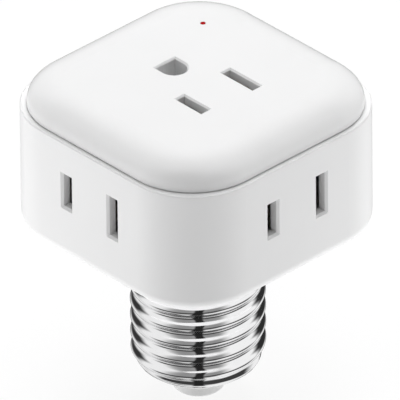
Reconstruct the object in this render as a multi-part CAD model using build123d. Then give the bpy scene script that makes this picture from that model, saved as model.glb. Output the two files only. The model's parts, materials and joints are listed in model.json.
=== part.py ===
from build123d import *
import os

# Body: a rounded square box, origin at the tip of the centre contact, on the screw axis
body_width = 56.0
corner_radius = 14.5
body_height = 25.9
wall = 2.0
floor_thickness = 2.5
bottom_edge_radius = 2.5
rim_edge_radius = 0.3

# Crowned top cover, seated on the rim behind a narrow shadow line, its corners rounder than the body's
cover_inset = 1.0
cover_corner_ease = 0.9
cover_height = 5.2
cover_wall = 2.0
crown_width = 7.0
crown_height = 4.4
reveal_height = 0.2
reveal_depth = 0.4
lip_depth = 3.0
lip_wall = 1.4
lip_clearance = 0.15

# Plug pattern: two flat blades and a round earth pin
blade_spacing = 12.7
earth_offset = 11.9
slot_width = 2.0
live_slot_length = 6.9
neutral_slot_length = 8.4
earth_width = 5.1
earth_straight = 2.5
earth_sleeve_wall = 1.2
earth_sleeve_depth = 5.5
side_slot_lift = 1.1
side_slot_play = 0.3
side_lead_in = 0.45
top_lead_in = 0.33

# Screw base
thread_pitch = 3.629
thread_crest_radius = 13.05
thread_depth = 0.9
thread_crest_flat = 0.6
thread_shoulder_width = 1.46
thread_shoulder_drop = 0.25
thread_root_flat = 0.7
thread_start_angle = 223.0
thread_end_margin = 0.3
shell_thickness = 0.4
base_length = 38.0
collar_length = 8.9
shell_length = 22.5
shell_nose_height = 0.7
shell_nose_inset = 0.5
collar_radius = 14.2
base_clearance = 0.15

# Insulating core inside the screw shell
core_wall = 3.0
core_floor_rise = 2.9
core_flange_radius = 14.0
core_flange_thickness = 1.3
contact_radius = 5.0
contact_height = 2.4
contact_edge_radius = 0.6
core_nose_margin = 0.7
shank_radius = 1.5
shank_clearance = 0.1
shank_head = 0.6
strap_window_drop = 4.6
window_clearance = 0.4

# Sheet brass contacts
sheet = 0.6
bend_radius = 0.9
grip_gap = 1.3
live_leaf_height = 6.0
neutral_leaf_height = 7.4
flare_length = 2.2
flare_width = 1.0
mouth_clearance = 2.6
tab_width = 2.4
tab_length = 2.9
top_leaf_height = 8.5
top_mouth_gap = 1.2
strap_y = 3.0
strap_clearance = 1.3

# Bus rings and the tray that carries them
bus_thickness = 0.8
bus_width = 2.8
bus_corner_radius = 1.5
bus_clearance = 0.2
ring_clearance = 0.35
tongue_half = 2.0
lug_radius = 1.2
tray_thickness = 1.8
tray_margin = 3.3
tray_corner_radius = 4.0
neutral_bus_drop = 4.3
post_width = 2.4
post_clearance = 0.1
post_pin_width = 1.4
post_pin_height = 1.6
foot_width = 4.0
foot_inset = 2.4

# Pilot light under the cover, beyond one corner post and a little off the diagonal
pilot_outset = 2.9
pilot_shift = 0.6
lens_radius = 0.5
lens_clearance = 0.05
lens_flange_radius = 1.5
lens_flange_thickness = 0.8
lamp_radius = 1.5
lamp_gap = 0.1
lamp_height = 3.6
lamp_chamfer = 0.6
lead_radius = 0.25
lead_spacing = 2.0
resistor_radius = 1.1
resistor_length = 6.0
resistor_lead = 2.0

half = body_width / 2
inner_half = half - wall
underside_z = base_length
rim_z = underside_z + body_height
floor_z = underside_z + floor_thickness
cover_top_z = rim_z + cover_height
cover_half = half - cover_inset
cover_corner = corner_radius - cover_inset + cover_corner_ease
half_spacing = blade_spacing / 2
blade_line_x = earth_offset / 2
leaf_offset = (grip_gap + sheet) / 2
bus_half = blade_line_x + neutral_leaf_height / 2 + ring_clearance + bus_width
clip_end = bus_half + sheet / 2 + bend_radius
clip_mouth = inner_half - mouth_clearance
neutral_bus_z = rim_z - neutral_bus_drop
tray_top_z = floor_z + core_flange_thickness + tray_thickness
shell_top_z = underside_z - collar_length
shell_bottom_z = shell_top_z - shell_length
core_floor_z = shell_bottom_z + core_floor_rise
strap_window_z = shell_top_z - strap_window_drop
thread_root_radius = thread_crest_radius - thread_depth
shell_bore = thread_root_radius - shell_thickness
core_radius = shell_bore - base_clearance
core_bore = core_radius - core_wall
shank_hole = shank_radius + shank_clearance
lip_half = inner_half - lip_clearance
lip_corner = corner_radius - wall - lip_clearance
ceiling_z = cover_top_z - cover_wall
live_plate_x = blade_line_x - live_leaf_height / 2
neutral_plate_x = blade_line_x - neutral_leaf_height / 2
live_bus_top_z = tray_top_z + bus_thickness
side_slot_z = (live_bus_top_z + neutral_bus_z) / 2 + side_slot_lift
live_tab_z = live_bus_top_z + sheet / 2
neutral_tab_z = neutral_bus_z + bus_thickness + sheet / 2
tray_half = bus_half + tray_margin
post_place = bus_half - bus_width / 2
corner_signs = ((-1, -1), (1, -1), (1, 1), (-1, 1))
post_places = [(x * post_place, y * post_place) for x, y in corner_signs]
pilot_offset = post_place + pilot_outset
pilot_x = pilot_shift - pilot_offset
pilot_y = pilot_shift + pilot_offset
pilot_place = (pilot_x, pilot_y)
lead_shift = lead_spacing / 2 * 0.5 ** 0.5
neutral_lead_place = (pilot_x + lead_shift, pilot_y - lead_shift)
live_lead_place = (pilot_x - lead_shift, pilot_y + lead_shift)
lamp_top_z = ceiling_z - lens_flange_thickness - lamp_gap
lamp_base_z = lamp_top_z - lamp_height
resistor_centre_z = (live_bus_top_z + neutral_bus_z) / 2
solder_z = resistor_centre_z + resistor_length / 2 + resistor_lead
quarter_turns = (0, 90, 180, 270)
face_names = ("front", "right", "back", "left")


def rounded_block(half_side, radius, low, high):
    outline = RectangleRounded(2 * half_side, 2 * half_side, radius)
    return extrude(Pos(0, 0, low) * outline, high - low)


def upright(radius, low, high):
    return Pos(0, 0, low) * Cylinder(radius, high - low, align=(Align.CENTER, Align.CENTER, Align.MIN))


def square_post(width, low, high):
    return extrude(Pos(0, 0, low) * Rectangle(width, width), high - low)


def crowned_block(half_side, radius, low, high, crown_run, crown_rise):
    # One edge section serves the straight sides and, turned about each corner centre, the corners
    centre = half_side - radius
    edge = Line((0, low), (radius, low))
    edge += Line((radius, low), (radius, high - crown_rise))
    crown_centre = (radius - crown_run, high - crown_rise)
    edge += EllipticalCenterArc(crown_centre, crown_run, crown_rise, start_angle=0, arc_size=90)
    edge += Line((radius - crown_run, high), (0, high))
    edge += Line((0, high), (0, low))
    section = Plane.XZ * make_face(edge)
    corner = revolve(section, Axis.Z, 90)
    side = extrude(section, centre, both=True)
    form = square_post(2 * centre, low, high)
    for turn in quarter_turns:
        form += Rot(0, 0, turn) * Pos(centre, centre, 0) * corner
        form += Rot(0, 0, turn) * Pos(centre, 0, 0) * side
    return form


def lead_in_cut(outline_at, depth, lead_in):
    # A straight passage with a flared mouth; the outline is a function of its growth
    passage = extrude(outline_at(0), depth)
    mouth = loft([outline_at(lead_in), Pos(0, 0, lead_in) * outline_at(0)])
    return passage + mouth


def slot_outline(length, play=0):
    return lambda grow: Rectangle(slot_width + play + 2 * grow, length + play + 2 * grow)


def earth_outline(grow):
    # Round towards the blades, flat on the far side
    radius = earth_width / 2 + grow
    straight = earth_straight + grow
    return Circle(radius) + Pos(-straight / 2, 0) * Rectangle(straight, 2 * radius)


def bent_strip(points, across, width):
    # Sheet bent along a line of points; "across" is the direction of its width
    line = FilletPolyline(*points, radius=bend_radius)
    section = Plane(line @ 0, x_dir=across, z_dir=line % 0) * Rectangle(width, sheet)
    return sweep(section, path=line)


def block(x_range, y_range, z_range):
    size = [high - low for low, high in (x_range, y_range, z_range)]
    middle = [(high + low) / 2 for low, high in (x_range, y_range, z_range)]
    return Pos(*middle) * Box(*size)


def make_housing():
    body = rounded_block(half, corner_radius, underside_z, rim_z)
    body = fillet(body.edges().group_by(Axis.Z)[0], bottom_edge_radius)
    body = fillet(body.edges().group_by(Axis.Z)[-1], rim_edge_radius)
    body -= rounded_block(inner_half, corner_radius - wall, floor_z, rim_z)
    body += upright(collar_radius, shell_top_z, floor_z)
    body -= upright(shell_bore, shell_top_z, floor_z)
    for turn in quarter_turns:
        for side, length in ((-1, live_slot_length), (1, neutral_slot_length)):
            place = Plane((side * half_spacing, -half, side_slot_z), x_dir=(1, 0, 0), z_dir=(0, 1, 0))
            cut = place * lead_in_cut(slot_outline(length, side_slot_play), 2 * wall, side_lead_in)
            body -= Rot(0, 0, turn) * cut
    return body


def make_cover():
    cover = crowned_block(
        cover_half, cover_corner, rim_z + reveal_height, cover_top_z, crown_width, crown_height)
    cover += rounded_block(
        cover_half - reveal_depth, cover_corner - reveal_depth, rim_z, rim_z + reveal_height)
    cover += rounded_block(lip_half, lip_corner, rim_z - lip_depth, rim_z)
    cover -= rounded_block(
        lip_half - lip_wall, lip_corner - lip_wall, rim_z - lip_depth, rim_z + reveal_height)
    hollow_inset = crown_width - cover_wall
    cover -= rounded_block(cover_half - hollow_inset, cover_corner - hollow_inset, rim_z, ceiling_z)
    for side, length in ((-1, live_slot_length), (1, neutral_slot_length)):
        place = Plane((blade_line_x, side * half_spacing, cover_top_z), x_dir=(0, 1, 0), z_dir=(0, 0, -1))
        cover -= place * lead_in_cut(slot_outline(length), 2 * cover_wall, top_lead_in)
    place = Plane((blade_line_x - earth_offset, 0, cover_top_z), x_dir=(1, 0, 0), z_dir=(0, 0, -1))
    sleeve_start = Pos(0, 0, cover_wall / 2)
    sleeve_length = cover_wall / 2 + earth_sleeve_depth
    cover += place * extrude(sleeve_start * earth_outline(earth_sleeve_wall), sleeve_length)
    cover -= place * lead_in_cut(earth_outline, 2 * cover_wall + earth_sleeve_depth, top_lead_in)
    cover -= Pos(*pilot_place) * upright(lens_radius + lens_clearance, rim_z, cover_top_z)
    return cover


def make_screw_shell():
    # Drawn tube with a turned-in nose, and a right-hand rolled thread with eased crests
    nose_top = shell_bottom_z + shell_nose_height
    outside = [
        (thread_root_radius - shell_nose_inset, shell_bottom_z),
        (thread_root_radius, nose_top),
        (thread_root_radius, shell_top_z),
    ]
    inside = [(radius - shell_thickness, z) for radius, z in reversed(outside)]
    tube = revolve(Plane.XZ * make_face(Polyline(*outside, *inside, close=True)), Axis.Z)
    flank_run = (thread_pitch - thread_root_flat) / 2
    sink = shell_thickness / 2
    base = thread_root_radius - sink
    base_run = flank_run + sink
    upper_ridge = [
        (thread_crest_radius, thread_crest_flat / 2),
        (thread_crest_radius - thread_shoulder_drop, thread_shoulder_width / 2),
        (base, base_run),
    ]
    lower_ridge = [(radius, -height) for radius, height in reversed(upper_ridge)]
    ridge = Polyline(*upper_ridge, *lower_ridge, close=True)
    first_turn_z = nose_top + base_run
    last_turn_z = shell_top_z - thread_end_margin - base_run
    path = Helix(thread_pitch, last_turn_z - first_turn_z, thread_root_radius)
    thread = sweep(Plane.XZ * make_face(ridge), path=path, is_frenet=True)
    return tube + Pos(0, 0, first_turn_z) * Rot(0, 0, thread_start_angle) * thread


def make_core():
    # Insulating plug: cone round the contact, stem inside the shell, flange on the housing floor
    nose_radius = core_radius - shell_nose_inset
    section = Polyline(
        (shank_hole, contact_height),
        (contact_radius + core_nose_margin, contact_height),
        (nose_radius, shell_bottom_z),
        (core_radius, shell_bottom_z + shell_nose_height),
        (core_radius, floor_z),
        (core_flange_radius, floor_z),
        (core_flange_radius, floor_z + core_flange_thickness),
        (core_bore, floor_z + core_flange_thickness),
        (core_bore, core_floor_z),
        (shank_hole, core_floor_z),
        close=True)
    core = revolve(Plane.XZ * make_face(section), Axis.Z)
    reach = tab_width / 2 + window_clearance
    rise = sheet / 2 + window_clearance
    window = block((-reach, reach), (0, shell_bore), (strap_window_z - rise, strap_window_z + rise))
    return core - window


def make_contact():
    # Rounded button with a shank that comes up through the core floor
    face_radius = contact_radius - contact_edge_radius
    edge = Line((0, 0), (face_radius, 0))
    edge += CenterArc((face_radius, contact_edge_radius), contact_edge_radius, -90, 90)
    edge += Polyline(
        (contact_radius, contact_edge_radius),
        (contact_radius, contact_height),
        (shank_radius, contact_height),
        (shank_radius, core_floor_z + shank_head),
        (0, core_floor_z + shank_head),
        (0, 0))
    return revolve(Plane.XZ * make_face(edge), Axis.Z)


def bus_ring(low, hole_width, lug_place, tongue):
    # Stamped square ring with post holes, a solder lug at one corner and a tongue inwards
    outline = RectangleRounded(2 * bus_half, 2 * bus_half, bus_corner_radius)
    opening = bus_half - bus_width
    outline -= Rectangle(2 * opening, 2 * opening)
    lug_ends = Pos(*lug_place) * Circle(lug_radius) + Pos(-post_place, post_place) * Circle(lug_radius)
    outline += make_hull(lug_ends.edges())
    (left, right), (near, far) = tongue
    outline += Pos((left + right) / 2, (near + far) / 2) * Rectangle(right - left, far - near)
    for x, y in post_places:
        outline -= Pos(x, y) * Rectangle(hole_width, hole_width)
    return extrude(Pos(0, 0, low) * outline, bus_thickness)


def make_live_bus():
    tongue = ((-tongue_half, live_plate_x + tongue_half), (-bus_half + bus_width / 2, strap_y + sheet))
    return bus_ring(tray_top_z, post_width + 2 * post_clearance, live_lead_place, tongue)


def make_neutral_bus():
    edge = neutral_plate_x - sheet - bus_clearance
    tongue = ((edge - 2 * tongue_half, edge), (half_spacing - tongue_half, bus_half - bus_width / 2))
    return bus_ring(neutral_bus_z, post_pin_width + 2 * post_clearance, neutral_lead_place, tongue)


def grip_leaves(start, straight, end, across, width, spread):
    # Two facing leaves that close to the grip gap and flare apart at the mouth
    leaves = []
    for side in (-1, 1):
        shift = side * leaf_offset * spread
        flare = side * (leaf_offset + flare_width) * spread
        leaves.append(bent_strip((start + shift, straight + shift, end + flare), across, width))
    return leaves[0] + leaves[1]


def make_side_clip(leaf_height, above, tab_z):
    # Clip behind a slot of the front face: leaves, a bridge on one edge and a bent tab to the bus
    straight_end = clip_mouth - flare_length
    clip = grip_leaves(
        Vector(0, -clip_end, side_slot_z), Vector(0, -straight_end, side_slot_z),
        Vector(0, -clip_mouth, side_slot_z), (0, 0, 1), leaf_height, Vector(1, 0, 0))
    side = 1 if above else -1
    bridge_z = side_slot_z + side * (leaf_height + sheet) / 2
    reach = leaf_offset + sheet / 2
    clip += block((-reach, reach), (-straight_end, -clip_end), (bridge_z - sheet / 2, bridge_z + sheet / 2))
    bend_y = -clip_end + sheet / 2
    clip += bent_strip(
        ((0, -clip_end - 2 * bend_radius, bridge_z), (0, bend_y, bridge_z), (0, bend_y, tab_z),
         (0, bend_y + tab_length, tab_z)), (1, 0, 0), tab_width)
    return clip


def make_top_clip(leaf_height, y, plate_x):
    # Clip under a slot of the cover: upright leaves and a plate on the edge nearest the earth hole
    mouth_z = ceiling_z - top_mouth_gap
    low_z = mouth_z - top_leaf_height
    straight_end = mouth_z - flare_length
    clip = grip_leaves(
        Vector(blade_line_x, y, low_z), Vector(blade_line_x, y, straight_end),
        Vector(blade_line_x, y, mouth_z), (1, 0, 0), leaf_height, Vector(0, 1, 0))
    reach = leaf_offset + sheet / 2
    return clip + block((plate_x - sheet, plate_x), (y - reach, y + reach), (low_z, straight_end))


def make_top_live_clip():
    clip = make_top_clip(live_leaf_height, -half_spacing, live_plate_x)
    middle_x = live_plate_x - sheet / 2
    low_z = ceiling_z - top_mouth_gap - top_leaf_height
    points = (
        (middle_x, -half_spacing, low_z + 2 * bend_radius),
        (middle_x, -half_spacing, live_tab_z),
        (middle_x - tab_length, -half_spacing, live_tab_z))
    return clip + bent_strip(points, (0, 1, 0), tab_width)


def make_top_neutral_clip():
    clip = make_top_clip(neutral_leaf_height, half_spacing, neutral_plate_x)
    back = neutral_plate_x - sheet
    tab = block(
        (back - tab_length, back), (half_spacing - tab_width / 2, half_spacing + tab_width / 2),
        (neutral_tab_z - sheet / 2, neutral_tab_z + sheet / 2))
    return clip + tab


def make_live_strap():
    foot_z = core_floor_z + shank_head + sheet / 2
    head_z = tray_top_z - sheet / 2
    points = (
        (0, -shank_radius, foot_z), (0, strap_y, foot_z), (0, strap_y, head_z), (0, -shank_radius, head_z))
    return bent_strip(points, (1, 0, 0), tab_width)


def make_neutral_strap():
    drop_y = core_bore - strap_clearance
    head_z = neutral_bus_z - sheet / 2
    points = (
        (0, bus_half - bus_width / 2, head_z), (0, drop_y, head_z),
        (0, drop_y, strap_window_z), (0, core_radius, strap_window_z))
    return bent_strip(points, (1, 0, 0), tab_width)


def make_tray():
    low = floor_z + core_flange_thickness
    tray = rounded_block(tray_half, tray_corner_radius, low, tray_top_z)
    tray -= upright(core_bore + window_clearance, low, tray_top_z)
    foot_place = tray_half - foot_inset
    for x, y in post_places:
        tray += Pos(x, y) * square_post(post_width, tray_top_z, neutral_bus_z)
        tray += Pos(x, y) * square_post(post_pin_width, neutral_bus_z, neutral_bus_z + post_pin_height)
    for x, y in corner_signs:
        tray += Pos(x * foot_place, y * foot_place) * square_post(foot_width, floor_z, low)
    return tray


def make_lens():
    lens = upright(lens_radius, ceiling_z, cover_top_z)
    lens += upright(lens_flange_radius, ceiling_z - lens_flange_thickness, ceiling_z)
    return Pos(*pilot_place) * lens


def make_lamp():
    lamp = upright(lamp_radius, lamp_base_z, lamp_top_z)
    lamp = Pos(*pilot_place) * chamfer(lamp.edges().group_by(Axis.Z)[-1], lamp_chamfer)
    lamp += Pos(*neutral_lead_place) * upright(lead_radius, neutral_bus_z + bus_thickness, lamp_base_z)
    lamp += Pos(*live_lead_place) * upright(lead_radius, solder_z, lamp_base_z)
    return lamp


def make_resistor():
    half_length = resistor_length / 2
    body = upright(resistor_radius, resistor_centre_z - half_length, resistor_centre_z + half_length)
    body += upright(lead_radius, live_bus_top_z, solder_z)
    return Pos(*live_lead_place) * body


parts = {
    "housing": make_housing(),
    "top_cover": make_cover(),
    "indicator_lens": make_lens(),
    "indicator_lamp": make_lamp(),
    "dropper_resistor": make_resistor(),
    "contact_tray": make_tray(),
    "live_bus": make_live_bus(),
    "neutral_bus": make_neutral_bus(),
    "top_live_clip": make_top_live_clip(),
    "top_neutral_clip": make_top_neutral_clip(),
    "live_strap": make_live_strap(),
    "neutral_strap": make_neutral_strap(),
    "base_core": make_core(),
    "screw_shell": make_screw_shell(),
    "centre_contact": make_contact(),
}
live_clip = Pos(-half_spacing, 0, 0) * make_side_clip(live_leaf_height, False, live_tab_z)
neutral_clip = Pos(half_spacing, 0, 0) * make_side_clip(neutral_leaf_height, True, neutral_tab_z)
for face, turn in zip(face_names, quarter_turns):
    parts[f"{face}_live_clip"] = Rot(0, 0, turn) * live_clip
    parts[f"{face}_neutral_clip"] = Rot(0, 0, turn) * neutral_clip

os.makedirs("parts", exist_ok=True)
for name, solid in parts.items():
    solid.label = name
    export_step(solid, f"parts/{name}.step")
    print(name, round(solid.volume, 1), len(solid.solids()), solid.is_valid)
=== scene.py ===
import json
import math

import bpy
from mathutils import Matrix, Vector


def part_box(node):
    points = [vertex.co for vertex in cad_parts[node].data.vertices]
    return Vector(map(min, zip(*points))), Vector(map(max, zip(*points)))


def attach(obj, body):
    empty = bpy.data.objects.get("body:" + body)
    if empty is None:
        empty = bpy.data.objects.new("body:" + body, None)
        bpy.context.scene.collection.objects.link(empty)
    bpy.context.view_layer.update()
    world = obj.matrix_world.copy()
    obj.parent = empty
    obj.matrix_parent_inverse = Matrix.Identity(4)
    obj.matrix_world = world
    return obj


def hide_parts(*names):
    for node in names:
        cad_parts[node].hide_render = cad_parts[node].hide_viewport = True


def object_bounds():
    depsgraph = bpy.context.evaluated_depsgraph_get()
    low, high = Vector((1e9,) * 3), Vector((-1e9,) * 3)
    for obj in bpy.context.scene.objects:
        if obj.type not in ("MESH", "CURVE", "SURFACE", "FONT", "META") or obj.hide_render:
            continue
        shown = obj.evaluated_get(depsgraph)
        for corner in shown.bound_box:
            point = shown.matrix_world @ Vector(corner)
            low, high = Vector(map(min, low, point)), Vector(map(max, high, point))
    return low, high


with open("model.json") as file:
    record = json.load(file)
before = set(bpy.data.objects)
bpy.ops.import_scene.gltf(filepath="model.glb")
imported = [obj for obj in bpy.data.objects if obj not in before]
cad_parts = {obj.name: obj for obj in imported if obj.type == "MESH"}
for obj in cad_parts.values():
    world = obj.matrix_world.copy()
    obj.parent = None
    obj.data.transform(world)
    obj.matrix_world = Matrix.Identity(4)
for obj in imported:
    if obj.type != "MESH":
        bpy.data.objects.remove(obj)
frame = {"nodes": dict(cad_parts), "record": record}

cadLow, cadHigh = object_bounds()
nodes = frame["nodes"]
print("frame loaded with", len(nodes), "nodes")


class Wire:
    # a shader socket; Python operators on it add Math nodes
    def __init__(self, tree, socket=None):
        self.tree = tree
        self.socket = socket

    def add(self, kind, settings, sockets, output=0):
        # any node: its settings first, then the values or links of its sockets
        node = self.tree.nodes.new(kind)
        for name, value in settings.items():
            setattr(node, name, value)
        for name, value in sockets.items():
            if isinstance(value, Wire):
                self.tree.links.new(value.socket, node.inputs[name])
            else:
                node.inputs[name].default_value = value
        return Wire(self.tree, node.outputs[output] if node.outputs else None)

    def calc(self, operation, *values):
        return self.add("ShaderNodeMath", {"operation": operation}, dict(enumerate(values)))

    def __add__(self, other):
        return self.calc("ADD", self, other)

    def __radd__(self, other):
        return self.calc("ADD", other, self)

    def __sub__(self, other):
        return self.calc("SUBTRACT", self, other)

    def __rsub__(self, other):
        return self.calc("SUBTRACT", other, self)

    def __mul__(self, other):
        return self.calc("MULTIPLY", self, other)

    def __rmul__(self, other):
        return self.calc("MULTIPLY", other, self)

    def __truediv__(self, other):
        return self.calc("DIVIDE", self, other)

    def __rtruediv__(self, other):
        return self.calc("DIVIDE", other, self)

    def __pow__(self, other):
        return self.calc("POWER", self, other)

    def __rpow__(self, other):
        return self.calc("POWER", other, self)

    def step(self, low, high):
        # 0 below low, 1 above high, smooth between
        settings = {"interpolation_type": "SMOOTHSTEP"}
        return self.add("ShaderNodeMapRange", settings, {"Value": self, "From Min": low, "From Max": high})

    def blend(self, first, second):
        # a colour that goes from first to second as this value goes from 0 to 1
        settings = {"data_type": "RGBA"}
        return self.add("ShaderNodeMix", settings, {0: self, 6: first, 7: second}, 2)    # its colour sockets

    def layer(self, first, second):
        # a shader that goes from first to second as this value goes from 0 to 1
        return self.add("ShaderNodeMixShader", {}, {0: self, 1: first, 2: second})

    def place(self):
        return self.add("ShaderNodeTexCoord", {}, {}, "Object")

    def ray(self, kind):
        return self.add("ShaderNodeLightPath", {}, {}, kind)

    def axes(self, names):
        return [self.add("ShaderNodeSeparateXYZ", {}, {0: self}, name) for name in names]

    def stretched(self, scale):
        return self.add("ShaderNodeVectorMath", {"operation": "MULTIPLY"}, {0: self, 1: scale})

    def noise(self, scale, detail=3.0):
        return self.add("ShaderNodeTexNoise", {}, {"Vector": self, "Scale": scale, "Detail": detail})

    def bump(self, strength, depth):
        return self.add("ShaderNodeBump", {}, {"Height": self, "Strength": strength, "Distance": depth})


def makeFinish(name, constants, paint):
    # constants stay on the shader's own sockets; paint gives the wires that vary over the surface
    material = bpy.data.materials.new(name)
    material.use_nodes = True
    tree = material.node_tree
    shader = tree.nodes["Principled BSDF"]
    for socket, value in constants.items():
        shader.inputs[socket].default_value = value
    for socket, wire in paint(Wire(tree)).items():
        tree.links.new(wire.socket, shader.inputs[socket])
    return material


noiseMiddle = 0.5
patchSpan = (0.3, 0.7)    # noise values between which one colour gives way to the other


def moulding(look):
    # moulded plastic: faint flow marks in the colour, uneven gloss and a fine skin
    def paint(start):
        place = start.place()
        flow = place.noise(look["flowScale"])
        skin = place.noise(look["skinScale"], detail=2.0)
        return {
            "Base Color": flow.step(*patchSpan).blend(look["colour"], look["flowColour"]),
            "Roughness": look["roughness"] + look["roughnessSpread"] * (flow - noiseMiddle),
            "Normal": skin.bump(look["skinStrength"], look["skinDepth"]),
        }
    return paint


bodyLook = {
    "colour": (0.830, 0.830, 0.832, 1.0),
    "flowColour": (0.820, 0.820, 0.822, 1.0),
    "flowScale": 90.0,
    "skinScale": 5200.0,
    "skinStrength": 0.12,
    "skinDepth": 0.00001,
    "roughness": 0.40,
    "roughnessSpread": 0.06,
}
coverLook = {
    "colour": (0.845, 0.845, 0.847, 1.0),
    "flowColour": (0.836, 0.836, 0.838, 1.0),
    "flowScale": 70.0,
    "skinScale": 420.0,
    "skinStrength": 0.02,
    "skinDepth": 0.00002,
    "roughness": 0.14,
    "roughnessSpread": 0.04,
}
trayLook = {
    "colour": (0.760, 0.755, 0.740, 1.0),
    "flowColour": (0.730, 0.725, 0.710, 1.0),
    "flowScale": 160.0,
    "skinScale": 2600.0,
    "skinStrength": 0.25,
    "skinDepth": 0.00002,
    "roughness": 0.55,
    "roughnessSpread": 0.10,
}
coreLook = {
    "colour": (0.790, 0.788, 0.780, 1.0),
    "flowColour": (0.765, 0.762, 0.752, 1.0),
    "flowScale": 180.0,
    "skinScale": 2200.0,
    "skinStrength": 0.25,
    "skinDepth": 0.00002,
    "roughness": 0.50,
    "roughnessSpread": 0.10,
}
lensLook = {
    "colour": (0.340, 0.002, 0.005, 1.0),
    "flowColour": (0.450, 0.004, 0.008, 1.0),
    "flowScale": 2400.0,
    "skinScale": 6000.0,
    "skinStrength": 0.05,
    "skinDepth": 0.00001,
    "roughness": 0.18,
    "roughnessSpread": 0.05,
}
lampLook = {
    "colour": (0.420, 0.030, 0.028, 1.0),
    "flowColour": (0.500, 0.045, 0.040, 1.0),
    "flowScale": 700.0,
    "skinScale": 5000.0,
    "skinStrength": 0.05,
    "skinDepth": 0.00001,
    "roughness": 0.20,
    "roughnessSpread": 0.05,
}
resistorLook = {
    "colour": (0.520, 0.380, 0.210, 1.0),
    "flowColour": (0.450, 0.320, 0.170, 1.0),
    "flowScale": 900.0,
    "skinScale": 4000.0,
    "skinStrength": 0.30,
    "skinDepth": 0.00002,
    "roughness": 0.45,
    "roughnessSpread": 0.10,
}


def plating(look):
    # metal with fine marks drawn out along one direction by rolling or stamping
    def paint(start):
        place = start.place()
        cloud = place.noise(look["cloudScale"])
        marks = place.stretched(look["markStretch"]).noise(scale=1.0, detail=4.0)
        return {
            "Base Color": cloud.step(*patchSpan).blend(look["colour"], look["cloudColour"]),
            "Roughness": look["roughness"] + look["roughnessSpread"] * (marks - noiseMiddle),
            "Normal": marks.bump(look["markStrength"], look["markDepth"]),
        }
    return paint


nickelLook = {
    "colour": (0.880, 0.880, 0.885, 1.0),
    "cloudColour": (0.850, 0.850, 0.855, 1.0),
    "cloudScale": 220.0,
    "markStretch": (60.0, 60.0, 2600.0),
    "markStrength": 0.03,
    "markDepth": 0.00001,
    "roughness": 0.07,
    "roughnessSpread": 0.05,
}
brassLook = {
    "colour": (0.690, 0.500, 0.230, 1.0),
    "cloudColour": (0.600, 0.430, 0.190, 1.0),
    "cloudScale": 260.0,
    "markStretch": (900.0, 900.0, 120.0),
    "markStrength": 0.10,
    "markDepth": 0.00001,
    "roughness": 0.30,
    "roughnessSpread": 0.12,
}
buttonLook = {
    "colour": (0.920, 0.920, 0.920, 1.0),
    "cloudColour": (0.880, 0.880, 0.880, 1.0),
    "cloudScale": 300.0,
    "ringPitch": 0.00022,
    "ringStrength": 0.10,
    "ringDepth": 0.00001,
    "roughness": 0.50,
    "roughnessSpread": 0.10,
}


def turnedFace(start):
    # satin plated button with turning rings round its axis
    place = start.place()
    x, y = place.axes("XY")
    radius = (x * x + y * y) ** 0.5
    rings = 0.5 + 0.5 * start.calc("SINE", radius * (2 * math.pi / buttonLook["ringPitch"]))
    cloud = place.noise(buttonLook["cloudScale"])
    return {
        "Base Color": cloud.step(*patchSpan).blend(buttonLook["colour"], buttonLook["cloudColour"]),
        "Roughness": buttonLook["roughness"] + buttonLook["roughnessSpread"] * (cloud - noiseMiddle),
        "Normal": rings.bump(buttonLook["ringStrength"], buttonLook["ringDepth"]),
    }


finishes = {
    "body_white": makeFinish("satinWhiteBody", {"IOR": 1.46}, moulding(bodyLook)),
    "cover_white": makeFinish("glossWhiteCover", {"IOR": 1.50}, moulding(coverLook)),
    "tray_white": makeFinish("plainTray", {"IOR": 1.46}, moulding(trayLook)),
    "core_white": makeFinish("plainCore", {"IOR": 1.46}, moulding(coreLook)),
    "lens_red": makeFinish("redLightGuide", {"IOR": 1.49}, moulding(lensLook)),
    "lamp_red": makeFinish("redLamp", {"IOR": 1.49}, moulding(lampLook)),
    "resistor_tan": makeFinish("tanResistor", {"IOR": 1.46}, moulding(resistorLook)),
    "shell_nickel": makeFinish("brightNickel", {"Metallic": 1.0}, plating(nickelLook)),
    "contact_brass": makeFinish("sheetBrass", {"Metallic": 1.0}, plating(brassLook)),
    "contact_nickel": makeFinish("satinButton", {"Metallic": 0.20}, turnedFace),
}
slotOf = {part["node"]: part["material_slot"] for part in frame["record"]["subparts"]}
for nodeName, nodeObject in nodes.items():
    nodeObject.data.materials.clear()
    nodeObject.data.materials.append(finishes[slotOf[nodeName]])
print("finishes made:", len(finishes))


def addPiece(name, points, faces, slotName):
    mesh = bpy.data.meshes.new(name)
    mesh.from_pydata(points, [], faces)
    mesh.materials.append(finishes[slotName])
    piece = bpy.data.objects.new(name, mesh)
    bpy.context.scene.collection.objects.link(piece)
    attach(piece, "root")
    return piece


shellForm = {
    "pitch": 0.003629,
    "depth": 0.0009,
    "crestAngle": math.radians(223.0),
    "crestRise": 0.00236,    # first crest above the shell's lower edge, at that angle
    "wall": 0.0004,
    "noseHeight": 0.0012,
    "noseInset": 0.0005,
    "runIn": 0.0015,
    "runOut": 0.0016,
    "columns": 200,
    "rowsPerTurn": 36,
}


def threadHeight(along):
    # two tangent arcs between root and crest, as a rolled lamp thread has
    halfPitch = shellForm["pitch"] / 2
    depth = shellForm["depth"]
    arc = (halfPitch ** 2 + depth ** 2) / (4 * depth)
    if along < halfPitch / 2:
        return depth - arc + math.sqrt(arc ** 2 - along ** 2)
    return arc - math.sqrt(arc ** 2 - (halfPitch - along) ** 2)


def smooth(value, low, high):
    share = min(max((value - low) / (high - low), 0.0), 1.0)
    return share * share * (3 - 2 * share)


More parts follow.
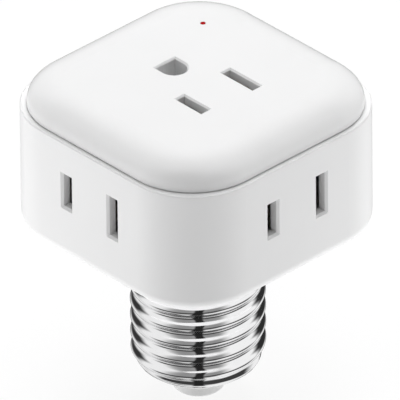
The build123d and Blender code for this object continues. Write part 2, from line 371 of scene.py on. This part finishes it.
def shellRadius(height, crest, low, high, root):
    # outer radius at a height, given the height of one of the crests there
    pitch = shellForm["pitch"]
    phase = (height - crest) / pitch
    along = abs(phase - round(phase)) * pitch
    noseTop = low + shellForm["noseHeight"]
    fade = smooth(height, noseTop, noseTop + shellForm["runIn"])
    fade *= 1 - smooth(height, high - shellForm["runOut"], high)
    bare = 1 - smooth(height, low, noseTop)
    return root - shellForm["noseInset"] * bare ** 2 + threadHeight(along) * fade


def rolledShell():
    # thin drawn shell with the thread rolled through its wall; its rows of points climb with the thread
    lowCorner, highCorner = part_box("screw_shell")
    low, high = lowCorner.z, highCorner.z
    root = highCorner.x - shellForm["depth"]
    columns, rows = shellForm["columns"], shellForm["rowsPerTurn"]
    rowRise = shellForm["pitch"] / rows
    outerSkin, innerSkin, spans = [], [], []
    for column in range(columns):
        angle = 2 * math.pi * column / columns
        turns = (angle - shellForm["crestAngle"]) / (2 * math.pi)
        crest = low + shellForm["crestRise"] + shellForm["pitch"] * turns
        first, last = math.floor((low - crest) / rowRise), math.ceil((high - crest) / rowRise)
        spans.append((len(outerSkin), first, last))
        for row in range(first, last + 1):
            height = min(max(crest + rowRise * row, low), high)
            radius = shellRadius(height, crest, low, high, root)
            for skin, reach in ((outerSkin, radius), (innerSkin, radius - shellForm["wall"])):
                skin.append((reach * math.cos(angle), reach * math.sin(angle), height))

    def corner(column, row):
        # past the last column a row goes on one turn higher; rows stop at the shell's two ends
        if column == columns:
            column, row = 0, row + rows
        start, first, last = spans[column]
        return start + min(max(row, first), last) - first

    faces = []
    count = len(outerSkin)
    bottom = min(first for start, first, last in spans) - rows
    top = max(last for start, first, last in spans)
    for column in range(columns):
        for row in range(bottom, top):
            loop = [corner(column, row), corner(column + 1, row),
                    corner(column + 1, row + 1), corner(column, row + 1)]
            loop = list(dict.fromkeys(loop))    # a triangle where a row runs out
            if len(loop) > 2:
                faces.append(loop)
                faces.append([count + index for index in reversed(loop)])
        for row, order in ((bottom, 1), (top, -1)):
            near, far = corner(column, row), corner(column + 1, row)
            faces.append((far, near, count + near, count + far)[::order])
    piece = addPiece("rolled_shell", outerSkin + innerSkin, faces, "shell_nickel")
    piece.data.shade_smooth()
    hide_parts("screw_shell")


rolledShell()
print("screw shell rolled")


quadrants = ((1, 1), (-1, 1), (-1, -1), (1, -1))


def ringWalls(first, rings, sides):
    # faces between rings of points that follow each other from point number first on
    walls = []
    for ring in range(rings - 1):
        for side in range(sides):
            near, far = first + ring * sides + side, first + ring * sides + (side + 1) % sides
            walls.append((near, far, far + sides, near + sides))
    return walls


fenceForm = {
    "start": 0.0053,    # where each leg begins, behind a clip and clear of the live bus's tongue
    "outer": 0.0097,    # outer face, just past the tips of a plug's blades and inside the bus rings
    "wall": 0.0008,
    "top": 0.0570,
    "edge": 0.0002,
}


def bladeFences():
    # four angled fences on the tray, behind the side clips, so that no slot looks through to another
    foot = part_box("live_bus")[0].z
    top, edge = fenceForm["top"], fenceForm["edge"]
    rings = ((foot, 0.0), (top - edge, 0.0), (top, edge))
    legs = ((0, 1, 4, 5), (1, 2, 3, 4))    # the outline's corners round each leg
    points, faces = [], []
    for across, along in quadrants:
        first = len(points)
        for height, inset in rings:
            start, outer = fenceForm["start"] + inset, fenceForm["outer"] - inset
            inner = fenceForm["outer"] - fenceForm["wall"] + inset
            outline = [(start, inner), (inner, inner), (inner, start),
                       (outer, start), (outer, outer), (start, outer)]
            points += [(x * across, y * along, height) for x, y in outline]
        sides = len(outline)
        loops = ringWalls(first, len(rings), sides)
        loops += [[first + index for index in reversed(leg)] for leg in legs]
        loops += [[len(points) - sides + index for index in leg] for leg in legs]
        faces += [loop[::across * along] for loop in loops]
    addPiece("blade_fences", points, faces, "tray_white")


bladeFences()


bossForm = {
    "place": 0.0174,    # from both middle planes
    "footRadius": 0.0022,
    "footHeight": 0.0008,
    "radius": 0.0020,
    "top": 0.0605,
    "edge": 0.0002,
    "holeRadius": 0.0009,
    "holeDepth": 0.0080,
    "sides": 48,
}


def cornerBosses():
    # screw bosses on the housing floor, one in each corner
    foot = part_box("contact_tray")[0].z
    radius, top, edge, hole = (bossForm[key] for key in ("radius", "top", "edge", "holeRadius"))
    profile = [(bossForm["footRadius"], foot), (radius, foot + bossForm["footHeight"]), (radius, top - edge),
               (radius - edge, top), (hole, top), (hole, top - bossForm["holeDepth"])]
    place, sides = bossForm["place"], bossForm["sides"]
    angles = [2 * math.pi * side / sides for side in range(sides)]
    points, faces = [], []
    for across, along in quadrants:
        first = len(points)
        x, y = across * place, along * place
        for reach, height in profile:
            points += [(x + reach * math.cos(angle), y + reach * math.sin(angle), height) for angle in angles]
        faces += ringWalls(first, len(profile), sides)
        faces.append(list(range(first, first + sides))[::-1])
        faces.append(list(range(len(points) - sides, len(points))))
    addPiece("corner_bosses", points, faces, "body_white")


cornerBosses()
print("fences and bosses set inside")


viewLook = {
    "azimuth": 46.9,
    "elevation": 32.6,
    "roll": 0.60,
    "frameWidth": 0.07629,    # what the photo takes in across the object
    "distance": 3.3,
    "sensor": 36.0,           # in millimetres
    "aimHeight": 0.0531,
    "aimRight": 0.000706,
    "aimUp": -0.00946,
}


def outward(azimuth, elevation):
    # direction from the object, in degrees; azimuth 0 is its front
    turn, rise = math.radians(azimuth), math.radians(elevation)
    return Vector((math.sin(turn) * math.cos(rise), -math.cos(turn) * math.cos(rise), math.sin(rise)))


def placeCamera():
    back = outward(viewLook["azimuth"], viewLook["elevation"])
    level = outward(viewLook["azimuth"] + 90, 0)
    plumb = back.cross(level)
    roll = math.radians(viewLook["roll"])
    right = level * math.cos(roll) - plumb * math.sin(roll)
    up = level * math.sin(roll) + plumb * math.cos(roll)
    aim = Vector((0, 0, viewLook["aimHeight"])) + right * viewLook["aimRight"] + up * viewLook["aimUp"]
    data = bpy.data.cameras.new("photoView")
    data.sensor_width = viewLook["sensor"]
    data.lens = viewLook["sensor"] * viewLook["distance"] / viewLook["frameWidth"]
    camera = bpy.data.objects.new("photo_view", data)
    bpy.context.scene.collection.objects.link(camera)
    turned = Matrix((right, up, back)).transposed().to_4x4()
    camera.matrix_world = Matrix.Translation(aim + back * viewLook["distance"]) @ turned
    bpy.context.scene.camera = camera


placeCamera()
print("camera placed")


def stageAxes(x, y):
    # floor and room are laid out about the photo's line of sight: towards its camera, and to its right
    turn = math.radians(viewLook["azimuth"])
    return x * math.sin(turn) - y * math.cos(turn), x * math.cos(turn) + y * math.sin(turn)


floorLook = {
    "size": 3.0,
    "colour": (0.90, 0.90, 0.90, 1.0),
    "shownGlow": 1.0,       # to the camera
    "shownShare": 0.86,     # the rest is plain white, which keeps the object's shadow
    "bounce": {"front": 1.10, "left": 2.10, "right": 1.94, "back": 0.0, "middle": 1.0},    # to the object
    "quarter": (0.66, 0.76),    # soft edge of the quarters round the object, as a cosine
    "seam": (-0.01, 0.01),      # soft edge between left and right
    "middle": (0.012, 0.042),   # soft edge of the dimmer spot under the object
}


def paleFloor():
    # a light table: white to the camera with the object's shadow on it, brighter at the sides for the object
    reach = floorLook["size"] / 2
    corners = [(-reach, -reach, 0), (reach, -reach, 0), (reach, reach, 0), (-reach, reach, 0)]
    mesh = bpy.data.meshes.new("paleFloor")
    mesh.from_pydata(corners, [], [(0, 1, 2, 3)])
    floor = bpy.data.objects.new("pale_floor", mesh)
    bpy.context.scene.collection.objects.link(floor)
    floor.visible_glossy = False    # polished surfaces see the room's screens instead
    material = bpy.data.materials.new("paleFloor")
    material.use_nodes = True
    material.node_tree.nodes.clear()
    start = Wire(material.node_tree)
    plain = start.add("ShaderNodeBsdfDiffuse", {}, {"Color": floorLook["colour"]})
    glow = start.add("ShaderNodeEmission", {}, {"Strength": floorLook["shownGlow"]})
    shown = start.add("ShaderNodeMixShader", {}, {0: floorLook["shownShare"], 1: plain, 2: glow})
    x, y = start.place().axes("XY")
    radius = (x * x + y * y) ** 0.5
    ahead, aside = stageAxes(x, y)
    facing = ahead / radius
    glows = {name: start.add("ShaderNodeEmission", {}, {"Strength": level})
             for name, level in floorLook["bounce"].items()}
    sides = aside.step(*floorLook["seam"]).layer(glows["left"], glows["right"])
    fore = facing.step(*floorLook["quarter"]).layer(sides, glows["front"])
    around = (0 - facing).step(*floorLook["quarter"]).layer(fore, glows["back"])
    bounce = radius.step(*floorLook["middle"]).layer(glows["middle"], around)
    face = start.ray("Is Camera Ray").layer(bounce, shown)
    below = start.add("ShaderNodeNewGeometry", {}, {}, "Backfacing")
    clear = start.add("ShaderNodeBsdfTransparent", {}, {})
    start.add("ShaderNodeOutputMaterial", {}, {"Surface": below.layer(face, clear)})    # clear from below
    mesh.materials.append(material)


paleFloor()
print("floor laid")


# azimuth is measured from the camera's, positive to its right; level 1 brings a facing white surface to white
softboxLook = {
    "distance": 1.2,
    "size": 0.9,
    "boxes": {
        "leftSoftbox": {"azimuth": -80, "elevation": 14, "level": 0.24},
        "rightSoftbox": {"azimuth": 80, "elevation": 14, "level": 0.17},
        "backSoftbox": {"azimuth": 180, "elevation": 48, "level": 0.78},
        "rightBackSoftbox": {"azimuth": 145, "elevation": 50, "level": 0.15},
        "topSoftbox": {"azimuth": 0, "elevation": 88, "level": 0.53},
    },
}


def placeLamps():
    middle = Vector((0, 0, (cadLow.z + cadHigh.z) / 2))
    distance = softboxLook["distance"]
    for name, box in softboxLook["boxes"].items():
        out = outward(viewLook["azimuth"] + box["azimuth"], box["elevation"])
        data = bpy.data.lights.new(name, "AREA")
        data.size = softboxLook["size"]
        data.energy = box["level"] * (math.pi * distance) ** 2
        lamp = bpy.data.objects.new(name, data)
        bpy.context.scene.collection.objects.link(lamp)
        lamp.location = middle + out * distance
        lamp.rotation_mode = "QUATERNION"
        lamp.rotation_quaternion = out.to_track_quat("Z", "Y")
        lamp.visible_glossy = False


placeLamps()
print("lamps placed:", len(softboxLook["boxes"]))


# what polished surfaces see of the room, laid over each other in this order; angles in degrees
roomLook = {
    "ambient": 0.01,
    "base": 0.50,
    "screens": {
        "leftWall": {"azimuth": (-112, -48), "elevation": (-100, 100), "soft": (16, 5), "tone": 0.95},
        "leftBack": {"azimuth": (-200, -112), "elevation": (-100, -8), "soft": (10, 14), "tone": 0.85},
        "leftBackTop": {"azimuth": (-200, -109), "elevation": (-8, 120), "soft": (12, 14), "tone": 0.04},
        "leftGrey": {"azimuth": (-46, 0), "elevation": (-100, 120), "soft": (22, 5), "tone": 0.30},
        "rightGrey": {"azimuth": (0, 40), "elevation": (-100, 40), "soft": (16, 14), "tone": 0.30},
        "rightTop": {"azimuth": (0, 40), "elevation": (40, 120), "soft": (16, 14), "tone": 0.90},
        "rightWall": {"azimuth": (44, 112), "elevation": (-100, 100), "soft": (12, 5), "tone": 1.00},
        "rightBack": {"azimuth": (112, 200), "elevation": (-100, -15), "soft": (8, 12), "tone": 0.95},
        "rightBackTop": {"azimuth": (109, 200), "elevation": (-16, 120), "soft": (10, 12), "tone": 0.03},
        "leftBehind": {"azimuth": (-200, -152), "elevation": (-52, 120), "soft": (10, 8), "tone": 0.03},
        "rightBehind": {"azimuth": (152, 200), "elevation": (-52, 120), "soft": (10, 8), "tone": 0.03},
        "frontLow": {"azimuth": (-50, 70), "elevation": (-120, -58), "soft": (10, 6), "tone": 0.95},
        "leftLow": {"azimuth": (-112, -50), "elevation": (-120, -58), "soft": (10, 6), "tone": 0.06},
        "skirting": {"azimuth": (-80, 104), "elevation": (-44, -20), "soft": (14, 7), "tone": 0.05},
    },
    # a dark upright strip in front, measured as sines
    "frontGap": {"across": (-0.12, 0.12), "soft": 0.03, "ahead": (-0.2, 0.2), "tone": 0.02},
}


def inside(value, span, soft):
    # 1 between the two ends of the span, 0 outside, with soft edges
    low, high = span
    return value.step(low - soft, low + soft) * (1 - value.step(high - soft, high + soft))


def studioRoom():
    # plain white to the camera, dim to plain surfaces, screens of several tones to polished ones
    world = bpy.data.worlds.new("studioRoom")
    bpy.context.scene.world = world
    world.use_nodes = True
    tree = world.node_tree
    start = Wire(tree)
    x, y, z = start.add("ShaderNodeTexCoord", {}, {}, "Generated").axes("XYZ")
    ahead, aside = stageAxes(x, y)
    bearing = start.calc("ARCTAN2", aside, ahead) * math.degrees(1)
    height = start.calc("ARCSINE", z) * math.degrees(1)
    tone = roomLook["base"]
    for screen in roomLook["screens"].values():
        softAcross, softUp = screen["soft"]
        cover = inside(bearing, screen["azimuth"], softAcross) * inside(height, screen["elevation"], softUp)
        tone = tone + cover * (screen["tone"] - tone)
    gap = roomLook["frontGap"]
    cover = inside(aside, gap["across"], gap["soft"]) * ahead.step(*gap["ahead"])
    tone = tone + cover * (gap["tone"] - tone)
    glossy = start.ray("Is Glossy Ray")
    shown = start.calc("MAXIMUM", start.ray("Is Camera Ray"), start.ray("Is Transmission Ray"))
    plain = (1 - shown) * (1 - glossy) * roomLook["ambient"]
    background = tree.nodes["Background"]
    background.inputs["Color"].default_value = (1.0, 1.0, 1.0, 1.0)
    tree.links.new((shown + glossy * tone + plain).socket, background.inputs["Strength"])


studioRoom()
bpy.context.scene.view_settings.view_transform = "Standard"
print("studio lit")
